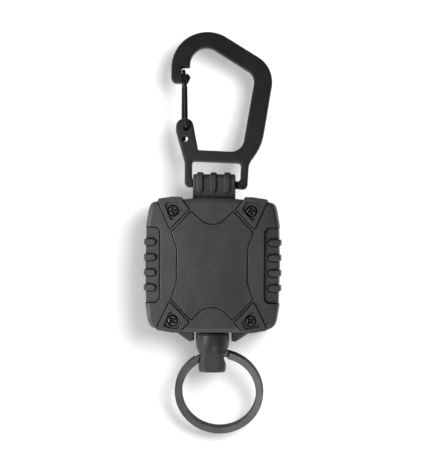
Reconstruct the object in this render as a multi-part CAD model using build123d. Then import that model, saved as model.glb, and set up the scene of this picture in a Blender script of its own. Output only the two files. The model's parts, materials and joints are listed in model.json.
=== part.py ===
from build123d import *
import math
import os

# Retractable badge reel, hanging from its carabiner.
# X is to the right, Y runs from the front cover to the rear cover, Z is up.
# The origin is on the axis of the spool, in the plane of the flat rear face.
# The pieces are drawn with the parting plane at Y = 0 and moved forward by
# half the depth of the case when they are written.
# All dimensions are in millimetres.
#
# Outlines are lists of corners (x, z, corner radius) in the XZ plane.
# A side of -1 is the front (or the left), +1 is the rear (or the right).

# ---- sizes shared by several pieces ----
case_half_depth = 7.0
axle_r = 2.0
axle_half = 6.1
bearing_gap = 0.06
cord_r = 0.6
eyelet_r = 2.0
strap_x = 0.20
strap_half = 6.62
strap_half_t = 3.05
bar_x = 0.27
bar_z = 25.45
bar_r = 1.25
lean = 1.95  # degrees, top of the carabiner to the right


# ---------------------------------------------------------------- drawing helpers
def rounded_face(corners, y=0.0):
    """Flat face in the XZ plane at depth y, from corners (x, z, corner radius)."""
    count = len(corners)
    spots = [Vector(x, y, z) for x, z, _ in corners]
    sides = [(spots[(i + 1) % count] - spots[i]).length for i in range(count)]
    # Half the angle at each corner, and how far its arc reaches along the sides.
    half_angles, reach = [], []
    for i in range(count):
        back = (spots[i - 1] - spots[i]).normalized()
        ahead = (spots[(i + 1) % count] - spots[i]).normalized()
        half = math.acos(max(-1.0, min(1.0, back.dot(ahead)))) / 2
        half_angles.append(half)
        sharp = corners[i][2] <= 0 or half > math.pi / 2 - 1e-3
        reach.append(0.0 if sharp else corners[i][2] / math.tan(half))
    # Shrink neighbouring arcs that would overlap on their common side.
    for _ in range(3):
        for i in range(count):
            j = (i + 1) % count
            total = reach[i] + reach[j]
            if total > 0.995 * sides[i]:
                shrink = 0.99 * sides[i] / total
                reach[i], reach[j] = reach[i] * shrink, reach[j] * shrink
    arcs = []  # start, middle (None at a sharp corner), end
    for i in range(count):
        spot = spots[i]
        if reach[i] < 1e-6:
            arcs.append((spot, None, spot))
            continue
        back = (spots[i - 1] - spot).normalized()
        ahead = (spots[(i + 1) % count] - spot).normalized()
        radius = reach[i] * math.tan(half_angles[i])
        to_middle = radius / math.sin(half_angles[i]) - radius
        middle = spot + (back + ahead).normalized() * to_middle
        arcs.append((spot + back * reach[i], middle, spot + ahead * reach[i]))
    edges = []
    for i in range(count):
        start, middle, end = arcs[i]
        if middle is not None:
            edges.append(Edge.make_three_point_arc(start, middle, end))
        following = arcs[(i + 1) % count][0]
        if (following - end).length > 1e-6:
            edges.append(Edge.make_line(end, following))
    return Face(Wire(edges))


def slab(corners, y0, y1):
    """Prism of an outline from depth y0 to depth y1."""
    return extrude(rounded_face(corners, y0), amount=y1 - y0, dir=(0, 1, 0))


def grow(corners, distance):
    """Outline moved outwards by distance, with mitred corners."""
    count = len(corners)
    area = sum(
        corners[i][0] * corners[(i + 1) % count][1] - corners[(i + 1) % count][0] * corners[i][1]
        for i in range(count)
    )
    sense = 1 if area > 0 else -1
    grown = []
    for i in range(count):
        x_before, z_before = corners[i - 1][:2]
        x, z, radius = corners[i]
        x_after, z_after = corners[(i + 1) % count][:2]
        in_x, in_z = x - x_before, z - z_before
        out_x, out_z = x_after - x, z_after - z
        in_length, out_length = math.hypot(in_x, in_z), math.hypot(out_x, out_z)
        # Outward normals of the two sides that meet here.
        in_nx, in_nz = sense * in_z / in_length, -sense * in_x / in_length
        out_nx, out_nz = sense * out_z / out_length, -sense * out_x / out_length
        mitre = distance / max(0.3, 1 + in_nx * out_nx + in_nz * out_nz)
        convex = sense * (in_x * out_z - in_z * out_x) > 0
        new_radius = radius + distance if convex else radius - distance
        grown.append((
            x + mitre * (in_nx + out_nx),
            z + mitre * (in_nz + out_nz),
            max(new_radius, 0.05) if radius > 0 else 0,
        ))
    return grown


def mirror_x(corners):
    return [(-x, z, radius) for x, z, radius in reversed(corners)]


def on_side(corners, side):
    """A right-hand outline, mirrored when side is -1."""
    return corners if side > 0 else mirror_x(corners)


def with_mirrors(*outlines):
    """Each outline followed by its mirror image."""
    return [on_side(corners, side) for corners in outlines for side in (1, -1)]


def both_halves(right):
    """Closed outline from its right half, listed from top to bottom."""
    return right + [corner for corner in mirror_x(right) if abs(corner[0]) > 1e-9]


def rod(start, end, radius):
    """Round bar between two points."""
    start, end = Vector(*start), Vector(*end)
    way = end - start
    return Solid.make_cylinder(radius, way.length, Plane(origin=start, z_dir=way))


def rod_y(x, z, y0, y1, radius):
    """Round bar along Y."""
    return rod((x, y0, z), (x, y1, z), radius)


def box(x0, x1, y0, y1, z0, z1):
    return Pos((x0 + x1) / 2, (y0 + y1) / 2, (z0 + z1) / 2) * Box(x1 - x0, y1 - y0, z1 - z0)


def cylinder_up(radius, height):
    """Cylinder that stands on Z = 0."""
    return Cylinder(radius, height, align=(Align.CENTER, Align.CENTER, Align.MIN))


def revolve_y(points):
    """Solid of revolution about Y from (radius, depth) points."""
    wire = Wire.make_polygon([Vector(radius, y, 0) for radius, y in points], close=True)
    return revolve(Face(wire), Axis.Y, 360)


def revolve_z(points):
    """Solid of revolution about Z from (radius, height) points."""
    wire = Wire.make_polygon([Vector(radius, 0, z) for radius, z in points], close=True)
    return revolve(Face(wire), Axis.Z, 360)


def spots_round(count, radius):
    """Evenly spaced (x, z) places on a circle, the first half a step from +X."""
    angles = [math.radians(360 * (k + 0.5) / count) for k in range(count)]
    return [(radius * math.cos(angle), radius * math.sin(angle)) for angle in angles]


def at_depth(edge, depth, tolerance=1e-3):
    """True for an edge centred at that distance in front of or behind the parting plane."""
    return abs(abs(edge.center().Y) - depth) < tolerance


def soften(solid, wanted, sizes):
    """Round the wanted edges with the first radius that the shape takes."""
    edges = [edge for edge in solid.edges() if wanted(edge)]
    for size in sizes:
        # The kernel refuses a fillet that is too large for its faces; try the next one.
        try:
            done = fillet(edges, size)
            if done.is_valid:
                return done
        except Exception:
            continue
    return solid


def largest(shape):
    """The largest solid of a shape, dropping slivers."""
    return sorted(shape.solids(), key=lambda solid: -solid.volume)[0]


# ---------------------------------------------------------------- case
wall = 1.8
case_edge_rounds = (1.5, 1.2, 0.9, 0.6, 0.4)
pad_proud = 0.35
pad_root_y = 0.35
pad_edge_rounds = (0.7, 0.5, 0.35, 0.2)
panel_depth = 0.9
panel_gap = 0.24
panel_proud = 0.05
panel_floor_gap = 0.02
line_width = 0.30
line_depth = 0.50
pocket_depth = 0.60
# Side grips
grip_depth = 0.85
rib_height = 2.0
rib_z = (7.2, 2.4, -2.4, -7.1)
rib_in_x = 17.7
rib_out_x = 21.42
rib_root_y = 0.55
rib_drop = 0.10  # rib faces below the case face
groove_width = 0.34
groove_depth = 0.30
flank_y = 1.0  # the flank cuts run this far past the parting plane
# Screw bosses
screw_x = 12.26
screw_z_top = 17.05
screw_z_bottom = -17.35
screws_at = [(side * screw_x, z) for side in (-1, 1) for z in (screw_z_top, screw_z_bottom)]
screw_seat_y = -5.7
counterbore_r = 1.86
boss_r = 2.6
boss_core_r = 0.86
boss_clearance = 0.09
boss_core_y = 5.0
# Axle sockets
socket_end_gap = 0.05
socket_side_gap = 0.02
# Locating tongue between the covers, and its groove
tongue = 0.7
tongue_t = 0.85
tongue_gap = 0.06
tongue_end_gap = 0.1
# Mouths at the top and the bottom
strap_gap = 0.12
eyelet_gap = 0.03
# Wings at the bottom of the rear cover
wing_front_y = 0.25
wing_inset = 1.6
wing_edge_y = 2.8

outline = both_halves([
    (0.0, 21.20, 0), (4.8, 21.04, 30), (9.5, 20.62, 30), (17.4, 20.0, 6.0),
    (19.35, 19.45, 1.9), (20.05, 17.3, 6.0), (20.85, 12.6, 14), (21.1, 5.0, 30),
    (21.1, -5.0, 30), (20.95, -12.4, 14), (20.15, -17.5, 4.0), (19.3, -19.35, 2.2),
    (17.4, -20.15, 5.0), (10.3, -20.95, 30), (5.0, -21.14, 30), (0.0, -21.2, 0),
])
hollow = both_halves([
    (0.0, 19.40, 0), (8.6, 19.3, 2), (17.0, 18.6, 1.5), (18.2, 17.3, 1.5), (18.9, 12.0, 5),
    (19.25, 5.0, 20), (19.25, -5.0, 20), (18.9, -12.0, 5), (18.2, -17.3, 1.5),
    (17.0, -18.6, 1.5), (8.6, -19.3, 2), (0.0, -19.4, 0),
])
panel = both_halves([
    (0.0, 10.5, 5.75), (6.58, 16.86, 0.25), (12.78, 10.38, 0.35), (11.02, 5.4, 1.5),
    (11.02, -5.4, 1.5), (12.80, -10.72, 0.35), (6.52, -17.12, 0.25), (0.0, -10.6, 6.1),
])
# The outlines below are right-hand ones; each also has a mirror image.
pad_top = [
    (17.30, 20.72, 0.9), (17.1, 20.0, 0), (13.29, 11.45, 0.25), (7.36, 17.55, 0.25),
    (9.65, 20.35, 0.6), (10.15, 21.46, 0.8), (12.45, 21.42, 3.0),
]
pad_low = [
    (10.35, -21.28, 0.7), (9.85, -20.7, 0.4), (7.26, -17.9, 0.25), (13.24, -11.6, 0.25),
    (17.25, -19.9, 0), (17.4, -20.35, 0.7), (12.45, -21.2, 5.0),
]
pocket_top = [(15.33, 19.55, 0.9), (12.90, 13.5, 0.7), (9.24, 17.55, 0.7), (10.62, 19.95, 0.8)]
pocket_low = [
    (9.24, -17.85, 0.7), (12.90, -13.9, 0.7), (15.42, -19.3, 0.9), (10.78, -20.2, 0.8),
]
grip = [(16.25, 12.05, 2.0), (24.0, 12.05, 0), (24.0, -12.05, 0), (16.25, -12.05, 2.0)]
flank = [
    (20.68, 11.95, 0.3), (26.0, 11.95, 0), (26.0, -11.95, 0), (20.68, -11.95, 0.3),
    (20.98, 0.0, 60),
]
wing = [
    (5.95, -19.6, 0), (5.95, -23.95, 0.6), (7.35, -24.15, 0.55), (12.0, -20.95, 0),
    (13.6, -19.8, 0),
]


def rib_outline(z, x_out, margin=0.0):
    """Bar with a round inner end, from the inner end of the ribs out to x_out."""
    x_in, radius = rib_in_x - margin, rib_height / 2 + margin
    return [
        (x_in, z + radius, radius * 0.98), (x_out, z + radius, 0.35),
        (x_out, z - radius, 0.35), (x_in, z - radius, radius * 0.98),
    ]


def drill_at_screws(body, y0, y1, radius):
    for x, z in screws_at:
        body = body - rod_y(x, z, y0, y1, radius)
    return body


def make_shell(side):
    """Half of the case without its details."""
    body = slab(outline, 0, side * case_half_depth)
    body = soften(body, lambda edge: at_depth(edge, case_half_depth), case_edge_rounds)
    # The pads stand proud of the front face only.
    pad_y = case_half_depth + (pad_proud if side < 0 else 0.0)
    for pad in with_mirrors(pad_top, pad_low):
        block = slab(pad, side * pad_root_y, side * pad_y)
        body = body + soften(
            block,
            lambda edge: at_depth(edge, pad_y) and abs(edge.center().Z) > 19.5,
            pad_edge_rounds,
        )
    return body


def add_grips(body, side):
    """Recessed side grips with raised ribs that wrap round the side."""
    floor = case_half_depth - grip_depth
    outside = side * (case_half_depth + 2)
    groove_bottom = side * (floor - groove_depth)
    groove_top = side * floor + side * 0.05
    for hand in (-1, 1):
        area = on_side(grip, hand)
        body = body - soften(
            slab(area, side * floor, outside),
            lambda edge: at_depth(edge, floor) and abs(edge.center().X) < 20,
            (0.25, 0.15),
        )
        # A shallow groove follows the edge of the recess and each rib.
        groove = slab(area, groove_bottom, groove_top) - slab(grow(area, -groove_width), -8, 8)
        body = body - groove
        for z in rib_z:
            track = on_side(rib_outline(z, rib_out_x + 2, groove_width), hand)
            body = body - slab(track, groove_bottom, groove_top)
        body = body - slab(on_side(flank, hand), -side * flank_y, outside)
    rib_y = case_half_depth - rib_drop
    for hand in (-1, 1):
        for z in rib_z:
            rib = slab(on_side(rib_outline(z, rib_out_x), hand), side * rib_root_y, side * rib_y)
            rib = soften(rib, lambda edge: at_depth(edge, rib_y, 0.02), (0.4, 0.3, 0.2))
            body = body + rib
    return body


def clear_tongue(ring, boss_margin, end_half_width):
    """Interrupt the tongue, or its groove, at the screw bosses and the two mouths."""
    ring = drill_at_screws(ring, -8, 2, boss_r + boss_margin)
    for z0, z1 in ((17, 23), (-23, -17)):
        ring = ring - box(-end_half_width, end_half_width, -3, 3, z0, z1)
    return ring


def cut_mouths(body, side):
    """Openings for the strap at the top and the cord eyelet at the bottom."""
    half_width = strap_half + strap_gap
    y0, y1 = sorted((side * (strap_half_t + strap_gap), -side))
    body = body - box(strap_x - half_width, strap_x + half_width, y0, y1, 17, 24)
    return body - rod((0, 0, -24), (0, 0, -17), eyelet_r + eyelet_gap)


def make_front():
    body = make_shell(-1)
    face = -case_half_depth
    # Fine joint line round every pad.
    for pad in with_mirrors(pad_top, pad_low):
        line = slab(grow(pad, line_width), face - 1, face + line_depth)
        body = body - (line - slab(pad, face - 2, 0.0))
    # Seat of the inlay panel.
    body = body - slab(grow(panel, panel_gap), face - 1, face + panel_depth)
    # Pockets round the screws.
    for pocket in with_mirrors(pocket_top, pocket_low):
        body = body - slab(pocket, face - 2, face - pad_proud + pocket_depth)
    body = add_grips(body, -1)
    # Inside, leaving the screw bosses.
    body = body - drill_at_screws(slab(hollow, face + wall, 1.0), -8, 2, boss_r)
    for x, z in screws_at:
        body = body - rod_y(x, z, -9, screw_seat_y, counterbore_r)
        body = body - rod_y(x, z, -9, 1, boss_core_r + boss_clearance)
    # Socket of the axle.
    body = body - rod_y(0, 0, -axle_half - socket_end_gap, 0, axle_r + socket_side_gap)
    # Groove for the locating tongue of the rear cover.
    groove = slab(grow(hollow, tongue_t + tongue_gap), -tongue - tongue_end_gap, 1)
    groove = groove - slab(grow(hollow, -0.5), -tongue - 0.2, 2)
    body = body - clear_tongue(groove, 0.5, 9)
    return largest(cut_mouths(body, -1))


def make_panel():
    face_y = case_half_depth + panel_proud
    body = slab(panel, -face_y, -case_half_depth + panel_depth - panel_floor_gap)
    return largest(soften(body, lambda edge: at_depth(edge, face_y, 0.01), (0.2, 0.15, 0.1)))


def make_rear():
    body = add_grips(make_shell(1), 1)
    # Wings that flank the cord end.
    for corners in with_mirrors(wing):
        body = body + soften(
            slab(corners, wing_front_y, case_half_depth - wing_inset),
            lambda edge: edge.center().Z < -21.5 and abs(edge.center().Y - wing_edge_y) > 2.0,
            (0.5, 0.3),
        )
    # Inside, leaving the screw bosses.
    body = body - drill_at_screws(slab(hollow, -1.0, case_half_depth - wall), -2, 8, boss_r)
    body = drill_at_screws(body, -1, boss_core_y, boss_core_r)
    body = body - rod_y(0, 0, 0, axle_half + socket_end_gap, axle_r + socket_side_gap)
    # Locating tongue, kept within its outer outline.
    tongue_outline = grow(hollow, tongue_t)
    ring = slab(tongue_outline, -tongue, 0.02) - slab(hollow, -2, 2)
    ring = ring & slab(tongue_outline, -2, 2)
    body = body + clear_tongue(ring, 0.6, 9.2)
    return largest(cut_mouths(body, 1))


# ---------------------------------------------------------------- screws
screw_head_r = 1.6
screw_head_t = 1.0
screw_head_round = 0.45
screw_shank_r = 0.82
screw_shank_length = 9.4
cross_length = 2.4
cross_width = 0.60
cross_core_r = 0.62
cross_height = 1.5  # half of it is sunk in the head
cross_turns = (12, 38, 8, 40)  # degrees, in the order of screws_at


def make_screws():
    made = []
    for (x, z), turn in zip(screws_at, cross_turns):
        head = cylinder_up(screw_head_r, screw_head_t)
        head = fillet(head.edges().group_by(Axis.Z)[-1], screw_head_round)
        shank = Pos(0, 0, -screw_shank_length) * cylinder_up(screw_shank_r, screw_shank_length)
        cross = Box(cross_width, cross_length, cross_height)
        cross = cross + Box(cross_length, cross_width, cross_height)
        cross = cross + Cylinder(cross_core_r, cross_height)
        screw = head + shank - Pos(0, 0, screw_head_t) * Rot(0, 0, turn) * cross
        # The head looks to the front.
        made.append(largest(Pos(x, screw_seat_y, z) * Rot(90, 0, 0) * screw))
    return Compound(children=made)


# ---------------------------------------------------------------- spool and spring
flange_r = 16.5
flange_t = 0.9
flange_hole_r = 1.1
groove_half = 2.7
drum_r = 11.7
chamber_r = 10.3
hub_r = 3.6
hub_half = 4.85
washer_t = 0.30
washer_r = 3.5
washer_end_gap = 0.02
washer_bore_gap = 0.05
lid_r = 10.85
lid_t = 0.9
lid_gap = 0.05
lid_hole_circle_r = 7.5
lid_hole_r = 0.8
spring_t = 0.18
spring_half_w = 2.45
spring_turns = 9
spring_in_r = 2.6
spring_out_gap = 0.5
axle_chamfer = 0.25
axle_slot_half_t = 0.16


def make_spool():
    bore_r = axle_r + bearing_gap
    outer_y = groove_half + flange_t
    body = revolve_y([
        (bore_r, groove_half), (chamber_r, groove_half), (chamber_r, -groove_half),
        (lid_r + lid_gap, -groove_half), (lid_r + lid_gap, -outer_y), (flange_r, -outer_y),
        (flange_r, -groove_half), (drum_r, -groove_half), (drum_r, groove_half),
        (flange_r, groove_half), (flange_r, outer_y), (hub_r, outer_y), (hub_r, hub_half),
        (bore_r, hub_half),
    ])
    # Round windows in the two flanges, midway between the drum and the rim.
    for x, z in spots_round(6, (drum_r + flange_r) / 2):
        body = body - rod_y(x, z, -outer_y - 1, -groove_half + 0.01, flange_hole_r)
        body = body - rod_y(x, z, groove_half - 0.01, outer_y + 1, flange_hole_r)
    return largest(body)


def make_lid():
    """Cover of the spring chamber, on the front of the spool."""
    bore_r = axle_r + bearing_gap
    outer_y = -groove_half - lid_t
    body = revolve_y([
        (bore_r, -groove_half), (lid_r, -groove_half), (lid_r, outer_y), (hub_r, outer_y),
        (hub_r, -hub_half), (bore_r, -hub_half),
    ])
    for x, z in spots_round(4, lid_hole_circle_r):
        body = body - rod_y(x, z, -6, -2, lid_hole_r)
    return largest(body)


def make_spring():
    """Flat strip wound as half circles whose radius grows by half a pitch each time."""
    pitch = (chamber_r - spring_out_gap - spring_in_r) / spring_turns

    def track(shift):
        """Arcs of one face of the strip, with their first and last points."""
        arcs, ends = [], []
        centre, radius, up = 0.0, spring_in_r, 1
        for _ in range(2 * spring_turns):
            start = Vector(centre + up * (radius + shift), 0, 0)
            middle = Vector(centre, 0, up * (radius + shift))
            end = Vector(centre - up * (radius + shift), 0, 0)
            arcs.append(Edge.make_three_point_arc(start, middle, end))
            ends += [start, end]
            centre = centre + up * pitch / 2
            radius, up = radius + pitch / 2, -up
        return arcs, ends[0], ends[-1]

    inner, inner_start, inner_end = track(-spring_t / 2)
    outer, outer_start, outer_end = track(spring_t / 2)
    closing = [Edge.make_line(outer_start, inner_start)]
    wire = Wire(inner + [Edge.make_line(inner_end, outer_end)] + outer + closing)
    strip = extrude(Face(wire), amount=2 * spring_half_w, dir=(0, 1, 0))
    strip = Pos(0, -spring_half_w, 0) * strip
    # Tab that sits in the slot of the axle.
    tab = box(
        -1.2, spring_in_r + 0.02, -spring_half_w, spring_half_w, -spring_t / 2, spring_t / 2
    )
    return largest(strip + tab)


def make_axle():
    pin = rod_y(0, 0, -axle_half, axle_half, axle_r)
    pin = chamfer(pin.edges(), axle_chamfer)
    slot_half_w = spring_half_w + 0.1
    slot = box(-1.4, 3.0, -slot_half_w, slot_half_w, -axle_slot_half_t, axle_slot_half_t)
    return largest(pin - slot)


def make_washers():
    made = []
    near = hub_half + washer_end_gap
    for side in (-1, 1):
        y0, y1 = sorted((side * near, side * (near + washer_t)))
        disc = rod_y(0, 0, y0, y1, washer_r)
        made.append(largest(disc - rod_y(0, 0, y0 - 1, y1 + 1, axle_r + washer_bore_gap)))
    return Compound(children=made)


# ---------------------------------------------------------------- cord
layer2_r = 13.62
wound_turns = 4
wound_side_gap = 0.14
wound_drum_gap = 0.05
run_side_gap = 0.06
run_start = 6.6  # from the tangent point on the drum
run_bend_z = -19.3
run_bend = 1.5  # length of each leg of the bend
tail_top_z = -18.3
tail_bottom_z = -23.7
eyelet_bore_r = 0.95
eyelet_flange_r = 2.8
eyelet_top_z = -18.72
eyelet_flange_z = -19.36
eyelet_bottom_z = -21.1
crimp_r = 1.5
crimp_h = 2.0
crimp_top_gap = 0.02
crimp_chamfer = 0.2


def make_wound():
    """Cord wound on the drum, with one round ridge for each turn of the outer layer."""
    half = groove_half - wound_side_gap
    pitch = 2 * half / wound_turns
    inner_r = drum_r + wound_drum_gap
    edges = [Edge.make_line(Vector(inner_r, -half, 0), Vector(layer2_r, -half, 0))]
    for k in range(wound_turns):
        y = -half + pitch * k
        edges.append(Edge.make_three_point_arc(
            Vector(layer2_r, y, 0),
            Vector(layer2_r + cord_r, y + pitch / 2, 0),
            Vector(layer2_r, y + pitch, 0),
        ))
    edges.append(Edge.make_line(Vector(layer2_r, half, 0), Vector(inner_r, half, 0)))
    edges.append(Edge.make_line(Vector(inner_r, half, 0), Vector(inner_r, -half, 0)))
    return largest(revolve(Face(Wire(edges)), Axis.Y, 360))


def make_run():
    """Cord from just off the drum to the eyelet, along the tangent of the outer layer."""
    sine = layer2_r / abs(run_bend_z)
    cosine = math.sqrt(1 - sine * sine)
    drum_y = groove_half - cord_r - run_side_gap
    tangent = Vector(layer2_r * cosine, drum_y, -layer2_r * sine)
    bend = Vector(0, 0, run_bend_z)
    way = (bend - tangent).normalized()
    start = tangent + way * run_start
    bend_start = bend - way * run_bend
    bend_end = bend + Vector(0, 0, -run_bend)
    path = Wire([
        Edge.make_line(start, bend_start),
        Edge.make_bezier(bend_start, bend, Vector(0, 0, bend_end.Z + 0.2), bend_end),
    ])
    section = Face(Wire.make_circle(cord_r, Plane(origin=start, z_dir=way)))
    body = largest(sweep(section, path=path))
    # Stop just above the straight tail.
    return largest(body - box(-3, 3, -3, 3, -24, tail_top_z + 0.05))


def make_eyelet():
    bore, top, bottom = eyelet_bore_r, eyelet_top_z, eyelet_bottom_z
    return largest(revolve_z([
        (bore + 0.55, top), (eyelet_flange_r, top), (eyelet_flange_r, eyelet_flange_z),
        (eyelet_r, eyelet_flange_z), (eyelet_r, bottom), (bore + 0.4, bottom),
        (bore + 0.1, bottom + 0.12), (bore, bottom + 0.4), (bore, top - 0.55),
        (bore + 0.16, top - 0.16),
    ]))


def make_tail():
    return rod((0, 0, tail_bottom_z), (0, 0, tail_top_z), cord_r)


def make_crimp():
    bottom = tail_bottom_z - crimp_top_gap - crimp_h
    crimp = Pos(0, 0, bottom) * cylinder_up(crimp_r, crimp_h)
    return largest(chamfer(crimp.edges(), crimp_chamfer))


# ---------------------------------------------------------------- cord end
end_top_z = -21.4
collar_bottom_z = -22.1
end_bottom_z = -33.8
end_r = 5.27
joint_r = 5.20  # where the small edge breaks at the collar joint begin
cord_bore_r = 0.85
plug_r = 3.3
plug_h = 1.0
plug_gap = 0.04
flat_y = 3.72
bevel_distance = 4.2
flat_top_z = -28.5
runout_top_z = -27.2
runout_width = 1.03
ring_hole_z = -28.5
ring_hole_r = 2.40
flare_grow = 0.50
flare_drop = 0.36
flare_x = 3.5
flare_length = 1.8


def make_collar():
    underside = collar_bottom_z + 0.06
    plug_bottom = end_top_z - plug_h
    return largest(revolve_z([
        (cord_bore_r, end_top_z), (5.05, end_top_z), (end_r, end_top_z - 0.16),
        (end_r, collar_bottom_z + 0.10), (joint_r, underside), (plug_r, underside),
        (plug_r, plug_bottom), (cord_bore_r, plug_bottom),
    ]))


def make_end():
    socket_r = plug_r + plug_gap
    socket_z = end_top_z - plug_h - plug_gap
    rim_z = collar_bottom_z + 0.03
    bottom = end_bottom_z
    chamber_bottom = tail_bottom_z - crimp_h - 0.10
    chamber_top = tail_bottom_z + 0.04
    crimp_bore_r = crimp_r + bearing_gap
    body = revolve_z([
        # Socket and joint with the collar.
        (cord_bore_r, socket_z), (socket_r, socket_z), (socket_r, rim_z), (joint_r, rim_z),
        # Tapered outside.
        (end_r, collar_bottom_z - 0.04), (5.24, -24.2), (5.13, -25.4), (4.95, -26.3),
        (4.75, -27.2), (4.62, -28.2), (4.48, -30.2), (4.34, -32.2), (4.24, bottom + 0.70),
        (4.08, bottom + 0.28), (3.75, bottom + 0.06), (3.2, bottom), (0.0, bottom),
        # Chamber of the crimp.
        (0.0, chamber_bottom), (crimp_bore_r, chamber_bottom), (crimp_bore_r, chamber_top),
        (cord_bore_r, chamber_top),
    ])
    # Flats at the front and the rear and bevels at the corners, each with a sloped run-out.
    flats = [(turn, flat_y) for turn in (90, -90)]
    bevels = [(turn, bevel_distance) for turn in (45, -45, 135, -135)]
    for turn, distance in flats + bevels:
        cut = [
            (distance, -40, 0), (distance, flat_top_z, 0),
            (distance + runout_width, runout_top_z, 0), (distance + 6, runout_top_z, 0),
            (distance + 6, -40, 0),
        ]
        body = body - Rot(0, 0, turn) * slab(cut, -8, 8)
    # Cross hole of the ring, opened a little downwards at both ends.
    body = body - rod((-8, 0, ring_hole_z), (8, 0, ring_hole_z), ring_hole_r)
    for side in (-1, 1):
        mouth = Plane(origin=(side * flare_x, 0, ring_hole_z - flare_drop), z_dir=(side, 0, 0))
        body = body - Solid.make_cone(
            ring_hole_r, ring_hole_r + flare_grow, flare_length, mouth
        )
    return largest(body)


# ---------------------------------------------------------------- split ring
ring_r = 12.82
ring_w = 2.35
ring_t = 1.16
ring_corner_r = 0.28
ring_layer = 0.61
ring_skew = 9.6  # degrees, to the right
ring_tilt = 19.0  # degrees, lower edge to the rear
ring_drop = 12.25
# Angles round the ring, in degrees: the front turn ends where the step starts.
front_start = 14.0
step_start = 331.0
step_end = 369.5
back_end = 686.0
step_sections = 9


def ring_section(angle, y):
    """Section of the wire at an angle round Y, clockwise from the top seen from the front."""
    plane = Plane(origin=(0, y, ring_r), x_dir=(0, 0, 1), z_dir=(1, 0, 0))
    flat = plane * RectangleRounded(ring_w, ring_t, ring_corner_r)
    return Rot(0, angle, 0) * flat.face()


def make_ring():
    """Two flat turns of wire with one step between them, hung in the cross hole."""
    front = revolve(ring_section(front_start, -ring_layer), Axis.Y, step_start - front_start)
    back = revolve(ring_section(step_end, ring_layer), Axis.Y, back_end - step_end)
    sections = []
    for k in range(step_sections):
        part = k / (step_sections - 1)
        angle = step_start + (step_end - step_start) * part
        sections.append(ring_section(angle, -ring_layer * math.cos(math.pi * part)))
    ring = largest(front + loft(sections) + back)
    skew = math.radians(ring_skew)
    shift = Pos(ring_drop * math.sin(skew), 0, -ring_drop * math.cos(skew))
    return Pos(0, 0, ring_hole_z) * Rot(ring_tilt, 0, 0) * shift * ring


# ---------------------------------------------------------------- strap
strap_r = 3.15  # from the bar axis to the top
strap_rib_w = 1.9
strap_rib_h = 0.62
strap_rib_x = (-4.2, 0.02, 4.35)
strap_rib_bottom_z = 22.75
strap_rib_end_r = 0.93
strap_foot_z = 17.1
strap_foot_top_z = 19.25
strap_foot_half_t = 4.3
strap_foot_inset = 0.05
bar_gap = 0.05
strap_top_z = bar_z + strap_r


def make_strap_rib(x):
    """Raised rib over the top of the strap, with rounded lower ends."""
    x0, x1 = x - strap_rib_w / 2, x + strap_rib_w / 2
    top, half_t = strap_top_z + strap_rib_h, strap_half_t + strap_rib_h
    rib = box(x0, x1, -half_t, half_t, strap_rib_bottom_z, top)
    rib = soften(
        rib,
        lambda edge: abs(edge.center().Z - top) < 0.01 and at_depth(edge, half_t, 0.01),
        (1.8, 1.5),
    )
    mask = slab([
        (x0, 30.5, 0), (x1, 30.5, 0),
        (x1, strap_rib_bottom_z, strap_rib_end_r), (x0, strap_rib_bottom_z, strap_rib_end_r),
    ], -6, 6)
    return soften(
        largest(rib & mask),
        lambda edge: abs(edge.center().Y) > half_t - 0.03 and edge.length > 2.0,
        (0.35, 0.25, 0.2),
    )


def make_strap():
    def top_corner(edge):
        on_top = abs(edge.center().Z - strap_top_z) < 0.01
        return on_top and at_depth(edge, strap_half_t, 0.01)

    def side_rim(edge):
        centre = edge.center()
        on_end = abs(abs(centre.X - strap_x) - strap_half) < 0.01
        outer = centre.Z > 26.5 or at_depth(edge, strap_half_t, 0.01)
        return on_end and centre.Z > 20.0 and outer

    body = box(
        strap_x - strap_half, strap_x + strap_half, -strap_half_t, strap_half_t,
        strap_foot_z, strap_top_z,
    )
    body = soften(body, top_corner, (1.5, 1.2))
    body = soften(body, side_rim, (0.45, 0.35, 0.2))
    for x in strap_rib_x:
        body = body + make_strap_rib(x)
    # Thicker foot, inside the case.
    foot_half = strap_half - strap_foot_inset
    body = body + box(
        strap_x - foot_half, strap_x + foot_half, -strap_foot_half_t, strap_foot_half_t,
        strap_foot_z, strap_foot_top_z,
    )
    # Bore for the leaning bar of the carabiner.
    way = Vector(math.cos(math.radians(lean)), 0, -math.sin(math.radians(lean)))
    centre = Vector(bar_x, 0, bar_z)
    start, end = centre - way * 10, centre + way * 10
    return largest(body - rod(tuple(start), tuple(end), bar_r + bar_gap))


# ---------------------------------------------------------------- carabiner
# Drawn upright with the axis of its bar at x = 0, z = 0, then seated on the strap.
plate_half = 2.0
plate_rounds = (0.7, 0.55, 0.45, 0.35, 0.25, 0.2)
tilt = 5.0  # degrees, top to the rear
wire_r = 0.58
wire_bend_r = 0.7
beak_half_t = 0.78
pivot_front = (-9.56, 17.38)
pivot_recess_r = 1.05
pivot_gap = 0.07
pivot_rear = (-10.35, 13.90)
rear_hole = (-9.90, 13.88)
rear_hole_r = 0.98
gate_tip = (-11.36, 35.32)
gate_tip_half = 1.42
gate_open = 27.0  # degrees
gate_track_steps = 9
gate_track_gap = 0.12

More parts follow.
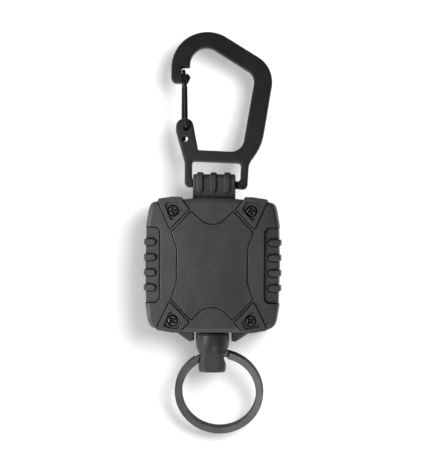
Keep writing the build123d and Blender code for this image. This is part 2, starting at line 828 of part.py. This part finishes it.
plate_outline = [
    (-15.12, 31.28, 1.73), (-15.72, 56.55, 11.34), (17.42, 37.62, 9.13), (14.35, 12.60, 17.0),
    (10.53, 6.87, 5.0), (10.42, -1.25, 1.57), (-9.37, -1.25, 1.42), (-9.66, 6.22, 1.89),
    (-12.91, 16.07, 3.78), (-12.98, 20.20, 2.61), (-7.92, 20.41, 2.36), (-5.64, 10.48, 0.4),
    (8.20, 10.37, 4.06), (11.32, 34.65, 4.22), (-9.70, 46.85, 5.13), (-9.41, 36.49, 0.25),
    (-12.05, 36.26, 0.57), (-11.97, 34.37, 0.57), (-9.92, 34.56, 0.28), (-9.08, 33.62, 0.30),
    (-9.86, 31.48, 0.55),
]
window = [(-7.38, 6.91, 0.82), (8.06, 6.93, 1.2), (8.11, 1.22, 0.88), (-7.17, 1.22, 0.88)]


def seat_carabiner(shape):
    return Pos(bar_x, 0, bar_z) * Rot(0, lean, 0) * Rot(-tilt, 0, 0) * shape


def make_plate():
    body = slab(plate_outline, -plate_half, plate_half)
    body = largest(body - slab(window, -5, 5))
    body = soften(body, lambda edge: at_depth(edge, plate_half), plate_rounds)
    # Round bar for the strap.
    body = body - box(-6.95, 7.75, -5, 5, -3, 1.6)
    body = body + rod((-7.5, 0, 0), (8.4, 0, 0), bar_r)
    # Thinned beak, so that the two legs of the gate pass on either side.
    for side, extra in ((-1, 0.0), (1, 0.45)):
        relief = [
            (-12.15 - extra, 36.9, 0.3), (-11.45 - extra, 31.0, 0), (-8.0, 31.0, 0),
            (-8.0, 36.45, 0), (-9.2, 36.9, 0.2),
        ]
        body = body - slab(relief, side * beak_half_t, side * 5)
    # Pivot of the front leg.
    pivot_x, pivot_z = pivot_front
    body = body - rod_y(pivot_x, pivot_z, -5, -1.1, pivot_recess_r)
    body = body - rod_y(pivot_x, pivot_z, -5, 0.7, wire_r + pivot_gap)
    # Through hole of the rear leg and the arc it moves along.
    body = body - rod_y(*rear_hole, -5, 5, rear_hole_r)
    arm_x, arm_z = pivot_rear[0] - pivot_x, pivot_rear[1] - pivot_z
    for i in range(gate_track_steps + 1):
        angle = math.radians((gate_open + 1) * i / gate_track_steps)
        x = pivot_x + arm_x * math.cos(angle) + arm_z * math.sin(angle)
        z = pivot_z - arm_x * math.sin(angle) + arm_z * math.cos(angle)
        body = body - rod_y(x, z, 0.55, 5, wire_r + gate_track_gap)
    return seat_carabiner(largest(body))


def make_gate():
    """Bent wire: in at the front pivot, up, across the beak, down and in at the rear."""
    front_x, front_z = pivot_front
    rear_x, rear_z = pivot_rear
    tip_x, tip_z = gate_tip[0] + 0.05, gate_tip[1]
    leg_y = plate_half + 0.86
    wire = FilletPolyline(
        (front_x, 0.45, front_z), (front_x, -leg_y, front_z), (-9.86, -leg_y + 0.1, 21.6),
        (-10.42, -2.0, 30.0), (tip_x, -gate_tip_half, tip_z), (tip_x, gate_tip_half, tip_z),
        (-11.30, 2.1, 30.0), (-11.02, leg_y, 21.4), (rear_x, leg_y + 0.05, rear_z),
        (rear_x, 0.75, rear_z),
        radius=wire_bend_r,
    ).wire()
    start = Plane(origin=wire.position_at(0), z_dir=wire.tangent_at(0))
    section = Face(Wire.make_circle(wire_r, start))
    return seat_carabiner(largest(sweep(section, path=wire, transition=Transition.ROUND)))


# ---------------------------------------------------------------- build
parts = {
    "front_cover": make_front,
    "front_panel": make_panel,
    "rear_cover": make_rear,
    "case_screws": make_screws,
    "spool": make_spool,
    "spring_cover": make_lid,
    "power_spring": make_spring,
    "axle_pin": make_axle,
    "thrust_washers": make_washers,
    "wound_cord": make_wound,
    "cord_run": make_run,
    "cord_eyelet": make_eyelet,
    "cord_tail": make_tail,
    "cord_crimp": make_crimp,
    "stop_collar": make_collar,
    "cord_end": make_end,
    "split_ring": make_ring,
    "strap_loop": make_strap,
    "carabiner": make_plate,
    "wire_gate": make_gate,
}

if __name__ == "__main__":
    os.makedirs("parts", exist_ok=True)
    for name, make in parts.items():
        export_step(Pos(0, -case_half_depth, 0) * make(), f"parts/{name}.step")
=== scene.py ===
import json
import math

import bpy
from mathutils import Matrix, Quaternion, Vector


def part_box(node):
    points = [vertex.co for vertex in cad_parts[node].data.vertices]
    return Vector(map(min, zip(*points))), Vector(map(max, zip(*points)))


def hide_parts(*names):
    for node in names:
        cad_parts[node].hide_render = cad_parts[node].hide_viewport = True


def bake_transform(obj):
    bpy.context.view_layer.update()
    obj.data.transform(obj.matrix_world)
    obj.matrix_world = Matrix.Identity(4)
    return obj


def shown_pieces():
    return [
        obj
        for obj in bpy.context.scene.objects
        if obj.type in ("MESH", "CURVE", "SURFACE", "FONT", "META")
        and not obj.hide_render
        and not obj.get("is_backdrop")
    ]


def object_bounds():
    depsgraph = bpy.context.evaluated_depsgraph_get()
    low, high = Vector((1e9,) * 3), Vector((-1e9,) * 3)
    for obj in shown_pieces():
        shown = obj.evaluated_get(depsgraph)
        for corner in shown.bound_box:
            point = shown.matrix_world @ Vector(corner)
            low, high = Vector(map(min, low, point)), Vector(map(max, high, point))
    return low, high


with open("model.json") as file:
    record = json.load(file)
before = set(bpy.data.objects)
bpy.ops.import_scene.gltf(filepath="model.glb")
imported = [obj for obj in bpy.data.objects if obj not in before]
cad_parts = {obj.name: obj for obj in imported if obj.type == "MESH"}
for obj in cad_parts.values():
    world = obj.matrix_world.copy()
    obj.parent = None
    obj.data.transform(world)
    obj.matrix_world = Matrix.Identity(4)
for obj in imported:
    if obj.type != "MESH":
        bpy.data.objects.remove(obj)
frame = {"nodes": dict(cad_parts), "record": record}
bounds_at_start = [list(map(float, corner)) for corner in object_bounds()]
record = frame["record"]
scene = bpy.context.scene

MM = 0.001  # metres in a millimetre

tail_low, tail_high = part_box("cord_tail")
cord_x = (tail_low.x + tail_high.x) / 2
axle_y = (tail_low.y + tail_high.y) / 2  # depth of the spool's axis and of the cord below it


# ------------------------------------------------------------------ node helpers
class Graph:
    """An emptied node tree of a material or world, with short ways to add nodes."""

    def __init__(self, owner):
        owner.use_nodes = True
        self.tree = owner.node_tree
        self.tree.nodes.clear()

    def add(self, kind, inputs=None, **props):
        """Add a node. Each input is given a value, or a socket to link from."""
        node = self.tree.nodes.new(kind)
        for key, value in props.items():
            setattr(node, key, value)
        for key, value in (inputs or {}).items():
            if isinstance(value, bpy.types.NodeSocket):
                self.tree.links.new(value, node.inputs[key])
            else:
                node.inputs[key].default_value = value
        return node


class Material(Graph):
    """A procedural Principled material. Sizes, reaches and depths are in millimetres."""

    def __init__(self, name):
        self.material = bpy.data.materials.new(name)
        super().__init__(self.material)
        self.coord = self.add("ShaderNodeTexCoord").outputs["Object"]

    def noise(self, size, detail, rough, stretch=None, seed=0.0):
        vector = self.coord
        if stretch or seed:
            vector = self.add("ShaderNodeMapping", {
                "Vector": vector,
                "Scale": stretch or (1, 1, 1),
                "Location": (seed, seed * 0.7, -seed * 0.4),
            }).outputs[0]
        return self.add("ShaderNodeTexNoise", {
            "Vector": vector,
            "Scale": 1.0 / (size * MM),
            "Detail": detail,
            "Roughness": rough,
        }).outputs[0]

    def cells(self, size):
        node = self.add("ShaderNodeTexVoronoi", {"Vector": self.coord, "Scale": 1.0 / (size * MM)})
        return node.outputs["Distance"]

    def math(self, operation, first, second=0.0):
        inputs = {0: first, 1: second}
        return self.add("ShaderNodeMath", inputs, operation=operation).outputs[0]

    def times(self, first, second):
        return self.math("MULTIPLY", first, second)

    def ramp(self, value, lo=0.3, hi=0.7, to_lo=0.0, to_hi=1.0):
        """Smooth step from to_lo to to_hi; the default range suits a plain noise."""
        return self.add("ShaderNodeMapRange", {
            "Value": value,
            "From Min": lo,
            "From Max": hi,
            "To Min": to_lo,
            "To Max": to_hi,
        }, interpolation_type="SMOOTHSTEP").outputs[0]

    def split(self, vector):
        return self.add("ShaderNodeSeparateXYZ", {0: vector}).outputs

    def mix(self, mask, at_0, at_1, **props):
        inputs = {0: mask, 6: at_0, 7: at_1}
        return self.add("ShaderNodeMix", inputs, data_type="RGBA", **props).outputs[2]

    def vary(self, noise, dark, light, hi=0.7):
        """Slow drift between two colours."""
        return self.mix(self.ramp(noise, hi=hi), dark, light)

    def overlay(self, colour, over, mask, amount):
        """Lay another colour over where the mask is 1."""
        return self.mix(self.times(mask, amount), colour, over)

    def paint_hollow_shade(self, colour, dark, reach, lo, hi):
        """Painted shade: darken grooves and corners, where less of the surroundings is open."""
        node = self.add("ShaderNodeAmbientOcclusion", {"Distance": reach * MM}, samples=6)
        return self.mix(self.ramp(node.outputs["AO"], lo=lo, hi=hi), dark, colour)

    def dot(self, first, second):
        inputs = {0: first, 1: second}
        node = self.add("ShaderNodeVectorMath", inputs, operation="DOT_PRODUCT")
        return node.outputs["Value"]

    def soft_edges(self, radius, samples=6):
        """(rounded normal, mask that is 1 on the edges)."""
        rounded = self.add("ShaderNodeBevel", {"Radius": radius * MM}, samples=samples).outputs[0]
        true_normal = self.add("ShaderNodeNewGeometry").outputs["Normal"]
        away = self.math("SUBTRACT", 1.0, self.dot(rounded, true_normal))
        return rounded, self.ramp(away, lo=0.01, hi=0.16)

    def patchy(self, edge, lo, hi, least, **noise):
        """Edge mask broken up by a noise, down to its least share."""
        return self.times(edge, self.ramp(self.noise(**noise), lo=lo, hi=hi, to_lo=least))

    def bump(self, height, depth, normal=None):
        inputs = {"Strength": 1.0, "Distance": depth * MM, "Height": height}
        if normal is not None:
            inputs["Normal"] = normal
        return self.add("ShaderNodeBump", inputs).outputs[0]

    def finish(self, colour, rough, normal, specular=0.5, metallic=0.0):
        surface = self.add("ShaderNodeBsdfPrincipled", {
            "Base Color": colour,
            "Roughness": rough,
            "Normal": normal,
            "Specular IOR Level": specular,
            "Metallic": metallic,
        })
        self.add("ShaderNodeOutputMaterial", {"Surface": surface.outputs[0]})
        return self.material


def grey(value, warm=0.0):
    return (value * (1 + warm), value, value * (1 - warm), 1.0)


def shade(tint, factor=1.0):
    return (*(min(1.0, channel * factor) for channel in tint), 1.0)


# ------------------------------------------------------------------ materials
# base: grey level; rough: mean roughness. Other greys are multiples of the base.
def moulded(name, base, rough, grain, depth, wear_and_highlight=0.5, specular=0.36, painted_light_below=None):
    """Moulded plastic: pebble grain, faint flow marks, edges lightened by wear and by painted
    highlight, painted shade in the grooves.

    The painted light argument is (height of full light, height of none, gain): a zone painted
    lighter towards the bottom, as if lit from below.
    """
    mat = Material(name)
    edge_normal, edge = mat.soft_edges(radius=0.28)
    fine = mat.noise(size=grain, detail=2.0, rough=0.6)
    pebble = mat.cells(size=grain * 2.2)
    fine_share, pebble_share = 0.65, 0.55  # of the grain's height
    height = mat.math("ADD", mat.times(fine, fine_share), mat.times(pebble, pebble_share))
    flow = mat.noise(size=9.0, detail=3.0, rough=0.5, stretch=(1.0, 1.0, 0.45), seed=3.1)
    speck = mat.ramp(mat.noise(size=0.55, detail=1.0, rough=0.4, seed=7.7), lo=0.74, hi=0.80)
    scuff = mat.noise(size=2.2, detail=6.0, rough=0.72, stretch=(1.0, 1.0, 3.0), seed=1.3)
    scuff = mat.ramp(scuff, lo=0.56, hi=0.72)
    rubbed_and_highlit_edges = mat.patchy(edge, lo=0.30, hi=0.66, least=0.35,
                        size=1.6, detail=5.0, rough=0.65, seed=5.0)
    colour = mat.vary(flow, dark=grey(base * 0.86), light=grey(base * 1.16))
    mottle = mat.ramp(mat.noise(size=0.62, detail=2.0, rough=0.7, seed=6.1), lo=0.36, hi=0.64)
    colour = mat.overlay(colour, grey(base * 0.45), mottle, amount=0.30)
    # Edges lightened in patches: partly rubbed wear, partly painted highlight.
    colour = mat.overlay(colour, grey(base * 2.1), rubbed_and_highlit_edges, amount=wear_and_highlight)
    colour = mat.overlay(colour, grey(base * 2.4), speck, amount=0.30)
    # Painted shade in the grooves and corners.
    colour = mat.paint_hollow_shade(colour, dark=grey(base * 0.12), reach=1.3, lo=0.32, hi=0.94)
    # Painted light: lighter below a given height, as if lit from below.
    if painted_light_below:
        full_light_z, unlit_z, gain = painted_light_below
        z = mat.split(mat.coord)[2]
        lighter = mat.ramp(z, lo=full_light_z, hi=unlit_z, to_lo=gain)
        colour = mat.mix(1.0, colour, lighter, blend_type="MULTIPLY")
    # Scuffs and rubbed edges are smoother than the grain.
    scuff_change, rubbed_drop = -0.05, 0.09
    roughness = mat.ramp(fine, to_lo=rough - 0.05, to_hi=rough + 0.06)
    roughness = mat.math("ADD", roughness, mat.times(scuff, scuff_change))
    roughness = mat.math("SUBTRACT", roughness, mat.times(rubbed_and_highlit_edges, rubbed_drop))
    return mat.finish(colour, roughness, mat.bump(height, depth, edge_normal), specular)


def anodised(name, base, rough):
    """Matte black anodised plate: blasted texture, side walls painted lighter as painted light
    from the lower left, rim lightened by wear and by painted highlight.
    """
    mat = Material(name)
    edge_normal, edge = mat.soft_edges(radius=0.32)
    facing = mat.split(mat.add("ShaderNodeTexCoord").outputs["Normal"])[1]
    face = mat.ramp(mat.math("ABSOLUTE", facing), lo=0.40, hi=0.85)
    blast = mat.noise(size=0.16, detail=2.0, rough=0.6)
    patch = mat.noise(size=6.5, detail=4.0, rough=0.55, seed=2.0)
    nick = mat.ramp(mat.noise(size=0.9, detail=7.0, rough=0.75, seed=9.0), lo=0.60, hi=0.70)
    lightened_edges = mat.patchy(edge, lo=0.42, hi=0.68, least=0.12,
                      size=1.3, detail=5.0, rough=0.7, seed=4.0)
    colour = mat.vary(patch, dark=grey(base * 0.85), light=grey(base * 1.2))
    # Painted light: side walls get a lighter, warmer grey, as if lit from the lower left.
    colour = mat.mix(face, grey(base * 2.4, warm=0.03), colour)
    # Rim lightened in patches: partly wear, partly painted highlight of the rim.
    colour = mat.overlay(colour, grey(base * 4.0, warm=0.01), lightened_edges, amount=0.55)
    nick_change = -0.06  # nicks are smoother
    roughness = mat.ramp(blast, to_lo=rough - 0.05, to_hi=rough + 0.05)
    roughness = mat.math("ADD", roughness, mat.times(nick, nick_change))
    normal = mat.bump(blast, depth=0.010, normal=edge_normal)
    return mat.finish(colour, roughness, normal, specular=0.24)


def rubbery(name, base, rough):
    """Soft moulded elastomer: very fine matte texture, painted highlight along the edges, painted
    shade in the hollows.
    """
    mat = Material(name)
    edge_normal, edge = mat.soft_edges(radius=0.3)
    fine = mat.noise(size=0.24, detail=3.0, rough=0.6)
    bloom = mat.noise(size=4.0, detail=4.0, rough=0.6, seed=2.4)
    colour = mat.vary(bloom, dark=grey(base * 0.85), light=grey(base * 1.25), hi=0.72)
    # Painted highlight: all edges lighter.
    colour = mat.overlay(colour, grey(base * 1.9), edge, amount=0.35)
    # Painted shade in the hollows.
    colour = mat.paint_hollow_shade(colour, dark=grey(base * 0.35), reach=1.4, lo=0.2, hi=0.9)
    roughness = mat.ramp(fine, to_lo=rough - 0.04, to_hi=rough + 0.06)
    normal = mat.bump(fine, depth=0.012, normal=edge_normal)
    return mat.finish(colour, roughness, normal, specular=0.30)


def plated(name, base, rough, worn_to, grain=(1, 1, 1), recess_shade_reach=None):
    """Dark plated steel with fine lines and brighter rubbed edges.

    worn_to: gain of the rubbed edges; the last argument: reach of the painted shade in the
    recesses.
    """
    mat = Material(name)
    edge_normal, edge = mat.soft_edges(radius=0.15)
    line = mat.noise(size=0.5, detail=4.0, rough=0.6, stretch=grain)
    patch = mat.noise(size=3.5, detail=4.0, rough=0.6, seed=3.0)
    lightened_edges = mat.patchy(edge, lo=0.4, hi=0.65, least=0.2,
                      size=1.0, detail=4.0, rough=0.7, seed=8.0)
    colour = mat.vary(patch, dark=grey(base * 0.86), light=grey(base * 1.12))
    colour = mat.overlay(colour, grey(base * worn_to), lightened_edges, amount=0.5)
    # Painted shade in the recesses.
    if recess_shade_reach:
        colour = mat.paint_hollow_shade(colour, dark=grey(base * 0.06), reach=recess_shade_reach, lo=0.35, hi=0.85)
    roughness = mat.ramp(line, to_lo=rough - 0.07, to_hi=rough + 0.08)
    normal = mat.bump(line, depth=0.006, normal=edge_normal)
    return mat.finish(colour, roughness, normal, metallic=1.0)


def ring_plate(name, face, painted_wall_shade, rough, axis):
    """Dark plated flat wire: satin faces across the axis, side walls painted darker as painted
    shade, painted shade in the hollows and a painted highlight on the edges of the faces.
    """
    mat = Material(name)
    edge_normal, edge = mat.soft_edges(radius=0.16)
    facing = mat.dot(mat.add("ShaderNodeTexCoord").outputs["Normal"], axis)
    flat = mat.ramp(mat.math("ABSOLUTE", facing), lo=0.45, hi=0.85)
    line = mat.noise(size=0.45, detail=4.0, rough=0.6)
    patch = mat.noise(size=3.0, detail=4.0, rough=0.6, seed=3.0)
    scratch = mat.noise(size=0.8, detail=6.0, rough=0.75, stretch=(1.0, 1.0, 3.5), seed=6.0)
    scratch = mat.ramp(scratch, lo=0.60, hi=0.70)
    colour = mat.vary(patch, dark=grey(face * 0.88), light=grey(face * 1.10))
    colour = mat.overlay(colour, grey(face * 1.5), scratch, amount=0.35)
    # Painted shade in the hollows and where parts come close.
    colour = mat.paint_hollow_shade(colour, dark=grey(face * 0.12), reach=2.2, lo=0.30, hi=0.80)
    # Painted shade: the side walls get a much darker grey than the faces.
    colour = mat.mix(flat, grey(painted_wall_shade), colour)
    # Painted highlight: the edges of the faces are lighter.
    colour = mat.overlay(colour, grey(face * 1.7), mat.times(edge, flat), amount=0.30)
    roughness = mat.ramp(line, to_lo=rough - 0.06, to_hi=rough + 0.08)
    metallic = mat.ramp(flat, lo=0.0, hi=1.0, to_lo=0.35, to_hi=0.9)
    normal = mat.bump(line, depth=0.006, normal=edge_normal)
    return mat.finish(colour, roughness, normal, specular=0.2, metallic=metallic)


def braid(name, base):
    """Braided cord: two crossing sets of strands round the Z axis."""
    strands = 4.0  # in each set
    lay = 1.5 * MM  # from one strand to the next along Z
    fuzz_share, weave_share = 0.4, 0.5  # of the height
    mat = Material(name)
    x, y, z = mat.split(mat.coord)
    angle = mat.math("ARCTAN2", mat.math("SUBTRACT", y, axle_y), x)
    along = mat.times(z, 2 * math.pi / lay)
    one_way, other_way = (
        mat.math("SINE", mat.math(operation, mat.times(angle, strands), along))
        for operation in ("ADD", "SUBTRACT")
    )
    weave = mat.math("MAXIMUM", one_way, other_way)
    fuzz = mat.noise(size=0.12, detail=4.0, rough=0.7)
    height = mat.math("ADD", mat.times(weave, weave_share), mat.times(fuzz, fuzz_share))
    # Painted shade in the valleys between strands and painted light on their crowns.
    colour = mat.mix(mat.ramp(weave, lo=0.0, hi=1.0), grey(base * 0.45), grey(base * 1.4))
    return mat.finish(colour, rough=0.75, normal=mat.bump(height, depth=0.05), specular=0.3)


def bright(name, rough, tint):
    """Turned or rolled metal inside the case."""
    mat = Material(name)
    edge_normal, edge = mat.soft_edges(radius=0.1, samples=4)
    line = mat.noise(size=0.35, detail=4.0, rough=0.6, stretch=(1, 6, 1))
    patch = mat.noise(size=2.5, detail=4.0, rough=0.6)
    colour = mat.vary(patch, dark=shade(tint, 0.82), light=shade(tint))
    # Painted highlight: edges lighter.
    colour = mat.overlay(colour, shade(tint, 1.25), edge, amount=0.4)
    roughness = mat.ramp(line, to_lo=rough - 0.06, to_hi=rough + 0.08)
    normal = mat.bump(line, depth=0.004, normal=edge_normal)
    return mat.finish(colour, roughness, normal, metallic=1.0)


def acetal(name, rough, tint):
    """Natural slippery plastic of the inner works."""
    mat = Material(name)
    edge_normal, edge = mat.soft_edges(radius=0.2, samples=4)
    fine = mat.noise(size=0.4, detail=3.0, rough=0.6)
    flow = mat.noise(size=5.0, detail=3.0, rough=0.5)
    colour = mat.vary(flow, dark=shade(tint, 0.9), light=shade(tint))
    # Painted highlight: edges lighter.
    colour = mat.overlay(colour, shade(tint, 1.08), edge, amount=0.3)
    roughness = mat.ramp(fine, to_lo=rough - 0.05, to_hi=rough + 0.05)
    normal = mat.bump(fine, depth=0.006, normal=edge_normal)
    return mat.finish(colour, roughness, normal)


end_low, end_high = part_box("cord_end")
lit_flats_top_z = end_low.z + (end_high.z - end_low.z) * 0.46  # top of the flats painted lighter, as if lit from below
end_light_zone = (lit_flats_top_z - 0.5 * MM, lit_flats_top_z + 0.9 * MM, 1.9)
ring_axis = Vector(next(
    mount["axis"] for mount in record["mounts"] if mount["name"] == "key_ring_opening"
))
looks = {
    "shell_front": moulded("front_shell_grain", base=0.060, rough=0.50, grain=0.62, depth=0.060),
    "inlay": moulded("inlay_grain", base=0.055, rough=0.48, grain=0.60, depth=0.060),
    "shell_rear": moulded("rear_shell_grain", base=0.058, rough=0.52, grain=0.62, depth=0.060),
    "screws": plated("screw_black_oxide", base=0.105, rough=0.44, worn_to=1.7, recess_shade_reach=1.0),
    "spool": acetal("spool_acetal", rough=0.4, tint=(0.62, 0.61, 0.57)),
    "spring_cover": acetal("spring_cover_acetal", rough=0.42, tint=(0.55, 0.54, 0.51)),
    "power_spring": bright("spring_blued_strip", rough=0.3, tint=(0.42, 0.45, 0.52)),
    "axle": bright("axle_ground", rough=0.25, tint=(0.62, 0.62, 0.63)),
    "washers": acetal("washer_nylon", rough=0.45, tint=(0.7, 0.69, 0.64)),
    "cord": braid("cord_braid", base=0.030),
    "eyelet": bright("eyelet_turned", rough=0.3, tint=(0.58, 0.45, 0.22)),
    "crimp": bright("crimp_turned", rough=0.32, tint=(0.55, 0.43, 0.22)),
    "collar": rubbery("collar_soft", base=0.016, rough=0.55),
    # The cord end's lower flats are painted lighter, as if lit from below.
    "cord_end": moulded("cord_end_satin", base=0.031, rough=0.42, grain=0.22, depth=0.008,
                        wear_and_highlight=0.45, specular=0.34, painted_light_below=end_light_zone),
    "ring": ring_plate("ring_dark_plate", face=0.070, painted_wall_shade=0.010, rough=0.42, axis=ring_axis),
    "strap": rubbery("strap_soft", base=0.052, rough=0.50),
    "carabiner": anodised("carabiner_anodised", base=0.032, rough=0.46),
    "gate_wire": plated("gate_wire_plate", base=0.040, rough=0.40, worn_to=2.4,
                        grain=(1, 1, 0.2)),
}

slot_of = {part["node"]: part["material_slot"] for part in record["subparts"]}
for node_name, piece in frame["nodes"].items():
    piece.data.materials.clear()
    piece.data.materials.append(looks[slot_of[node_name]])
    for polygon in piece.data.polygons:
        polygon.material_index = 0


# ------------------------------------------------------------------ meshes
def mesh_object(name, verts, faces):
    mesh = bpy.data.meshes.new(name)
    mesh.from_pydata(verts, [], faces)
    mesh.update()
    made = bpy.data.objects.new(name, mesh)
    scene.collection.objects.link(made)
    return made


def cord_mesh(name, radius, top_z, low_z, rings, around):
    """Closed cord along Z, finely divided along its length."""
    flutes, flute_depth = 8, 0.05  # depth as a share of the radius
    verts, faces = [], []
    for i in range(rings + 1):
        z = top_z + (low_z - top_z) * i / rings
        for k in range(around):
            angle = 2 * math.pi * k / around
            reach = radius * (1 + flute_depth * math.cos(flutes * angle))
            verts.append((cord_x + reach * math.cos(angle), axle_y + reach * math.sin(angle), z))
    for i in range(rings):
        for k in range(around):
            here, beside = i * around + k, i * around + (k + 1) % around
            faces.append((here, here + around, beside + around, beside))
    top, low = len(verts), len(verts) + 1
    verts += [(cord_x, axle_y, top_z), (cord_x, axle_y, low_z)]
    last = rings * around
    for k in range(around):
        beside = (k + 1) % around
        faces.append((top, k, beside))
        faces.append((low, last + beside, last + k))
    made = mesh_object(name, verts, faces)
    for polygon in made.data.polygons:
        polygon.use_smooth = True
    return made


# ------------------------------------------------------------------ the free cord
END_GAP = 0.05 * MM  # the cord stops just short of the box of the piece it replaces
cord = cord_mesh(
    "free_cord",
    radius=(tail_high.x - tail_low.x) / 2 * 0.95,
    top_z=tail_high.z - END_GAP,
    low_z=tail_low.z + END_GAP,
    rings=240,
    around=32,
)
cord.data.materials.append(looks["cord"])
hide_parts("cord_tail")
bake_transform(cord)


# ------------------------------------------------------------------ stage
def paper_material():
    """White paper, clear from behind and to shadow rays so that the rear light passes."""
    material = bpy.data.materials.new("backdrop_paper")
    graph = Graph(material)
    noise = graph.add("ShaderNodeTexNoise", {"Scale": 900.0}).outputs[0]
    level = graph.add("ShaderNodeMapRange", {"Value": noise, "To Min": 0.89, "To Max": 0.91})
    colour = graph.add("ShaderNodeCombineColor", {i: level.outputs[0] for i in range(3)})
    paper_surface = graph.add("ShaderNodeBsdfDiffuse", {"Color": colour.outputs[0]})
    clear = graph.add("ShaderNodeBsdfTransparent")
    behind = graph.add("ShaderNodeNewGeometry").outputs["Backfacing"]
    shadow = graph.add("ShaderNodeLightPath").outputs["Is Shadow Ray"]
    unseen = graph.add("ShaderNodeMath", {0: behind, 1: shadow}, operation="MAXIMUM")
    inputs = {0: unseen.outputs[0], 1: paper_surface.outputs[0], 2: clear.outputs[0]}
    surface = graph.add("ShaderNodeMixShader", inputs)
    graph.add("ShaderNodeOutputMaterial", {"Surface": surface.outputs[0]})
    return material


def backdrop():
    """Upright square sheet behind the object, facing -Y."""
    half = 3.0
    y = bounds_at_start[1][1] + 5.0 * MM
    corners = [(-half, y, -half), (half, y, -half), (half, y, half), (-half, y, half)]
    made = mesh_object("backdrop", corners, [(0, 1, 2, 3)])
    made.data.materials.append(paper_material())
    return made


paper = backdrop()
paper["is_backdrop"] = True


# ------------------------------------------------------------------ light
centre = Vector((0, axle_y, 0.010))


def area(name, offset, size, watts, aim=(0, 0, 0), spread=180.0):
    """Rectangular light. Offset and aim are from the centre; spread is in degrees."""
    light = bpy.data.lights.new(name, "AREA")
    light.shape = "RECTANGLE"
    light.size, light.size_y = size
    light.energy = watts
    light.spread = math.radians(spread)
    made = bpy.data.objects.new(name, light)
    place = centre + Vector(offset)
    made.location = place
    made.rotation_euler = (centre + Vector(aim) - place).to_track_quat("-Z", "Y").to_euler()
    scene.collection.objects.link(made)
    return made


def collection(name, members):
    made = bpy.data.collections.new(name)
    scene.collection.children.link(made)
    for member in members:
        made.objects.link(member)
    return made


# The paper has a key at the upper right, which draws the shadow, and a wide fill.
paper_key = area("paper_key", offset=(0.31, -0.70, 0.17), size=(0.34, 0.34), watts=5.2)
paper_fill = area("paper_fill", offset=(-0.10, -0.80, 0.10), size=(1.2, 1.2), watts=6.9)
# The object has narrow boxes at its left and below, a large one at the lower left,
# a weak one at the upper right and one behind for the rear.
object_lights = [
    area("left_box", offset=(-0.140, -0.110, -0.020), aim=(-0.048, 0, 0),
         size=(0.07, 0.07), watts=0.038, spread=46.0),
    area("low_box", offset=(0.045, -0.120, -0.150), aim=(0.014, 0, -0.040),
         size=(0.08, 0.08), watts=0.0175, spread=48.0),
    area("rim_box", offset=(-0.52, -0.14, -0.36), size=(0.20, 0.40), watts=1.2),
    area("top_box", offset=(0.22, -0.60, 0.42), size=(0.36, 0.30), watts=0.30),
    area("rear_box", offset=(-0.30, 0.75, 0.40), size=(0.6, 0.6), watts=4.0),
]
on_object = collection("lit_object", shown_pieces())
on_paper = collection("lit_paper", [paper])
no_blockers = collection("no_blockers", [paper])
for light_object in object_lights:
    light_object.light_linking.receiver_collection = on_object
for light_object in (paper_key, paper_fill):
    light_object.light_linking.receiver_collection = on_paper
# The object casts no shadow from the fill.
paper_fill.light_linking.blocker_collection = no_blockers


def studio_world():
    """Dim surround, brightest from the lower left front; the camera sees near white."""
    brightest = Vector((-0.55, -0.70, -0.30)).normalized()
    world = bpy.data.worlds.new("studio")
    scene.world = world
    graph = Graph(world)
    direction = graph.add("ShaderNodeTexCoord").outputs["Generated"]
    inputs = {0: direction, 1: brightest}
    facing = graph.add("ShaderNodeVectorMath", inputs, operation="DOT_PRODUCT")
    strength = graph.add("ShaderNodeMapRange", {
        "Value": facing.outputs["Value"],
        "From Min": -0.6,
        "From Max": 0.9,
        "To Min": 0.035,
        "To Max": 0.15,
    }).outputs[0]
    lighting = graph.add("ShaderNodeBackground", {"Strength": strength, "Color": (1, 1, 1, 1)})
    seen = graph.add("ShaderNodeBackground", {"Color": (0.95, 0.952, 0.955, 1)})
    camera_ray = graph.add("ShaderNodeLightPath").outputs["Is Camera Ray"]
    inputs = {0: camera_ray, 1: lighting.outputs[0], 2: seen.outputs[0]}
    surface = graph.add("ShaderNodeMixShader", inputs)
    graph.add("ShaderNodeOutputWorld", {"Surface": surface.outputs[0]})


studio_world()

# ------------------------------------------------------------------ camera
VIEW_HEIGHT = 141.435 * MM  # seen at the aim point
DISTANCE = 1.20
AZIMUTH = math.radians(2.6)  # from straight in front towards +X
ROLL = math.radians(0.45)
aim_point = Vector((-0.1 * MM, axle_y, 12.76 * MM))
camera_place = aim_point + DISTANCE * Vector((math.sin(AZIMUTH), -math.cos(AZIMUTH), 0.0))
camera = bpy.data.cameras.new("camera")
camera_object = bpy.data.objects.new("camera", camera)
scene.collection.objects.link(camera_object)
camera_object.location = camera_place
look = (aim_point - camera_place).to_track_quat("-Z", "Y")
camera_object.rotation_euler = (look @ Quaternion((0.0, 0.0, 1.0), ROLL)).to_euler()
camera.sensor_fit = "VERTICAL"
camera.sensor_height = 24.0
camera.lens = camera.sensor_height * DISTANCE / VIEW_HEIGHT
camera.clip_start = 0.01
camera.clip_end = 20.0
scene.camera = camera_object

scene.view_settings.view_transform = "Standard"
scene.view_settings.look = "None"
scene.view_settings.exposure = 0.0
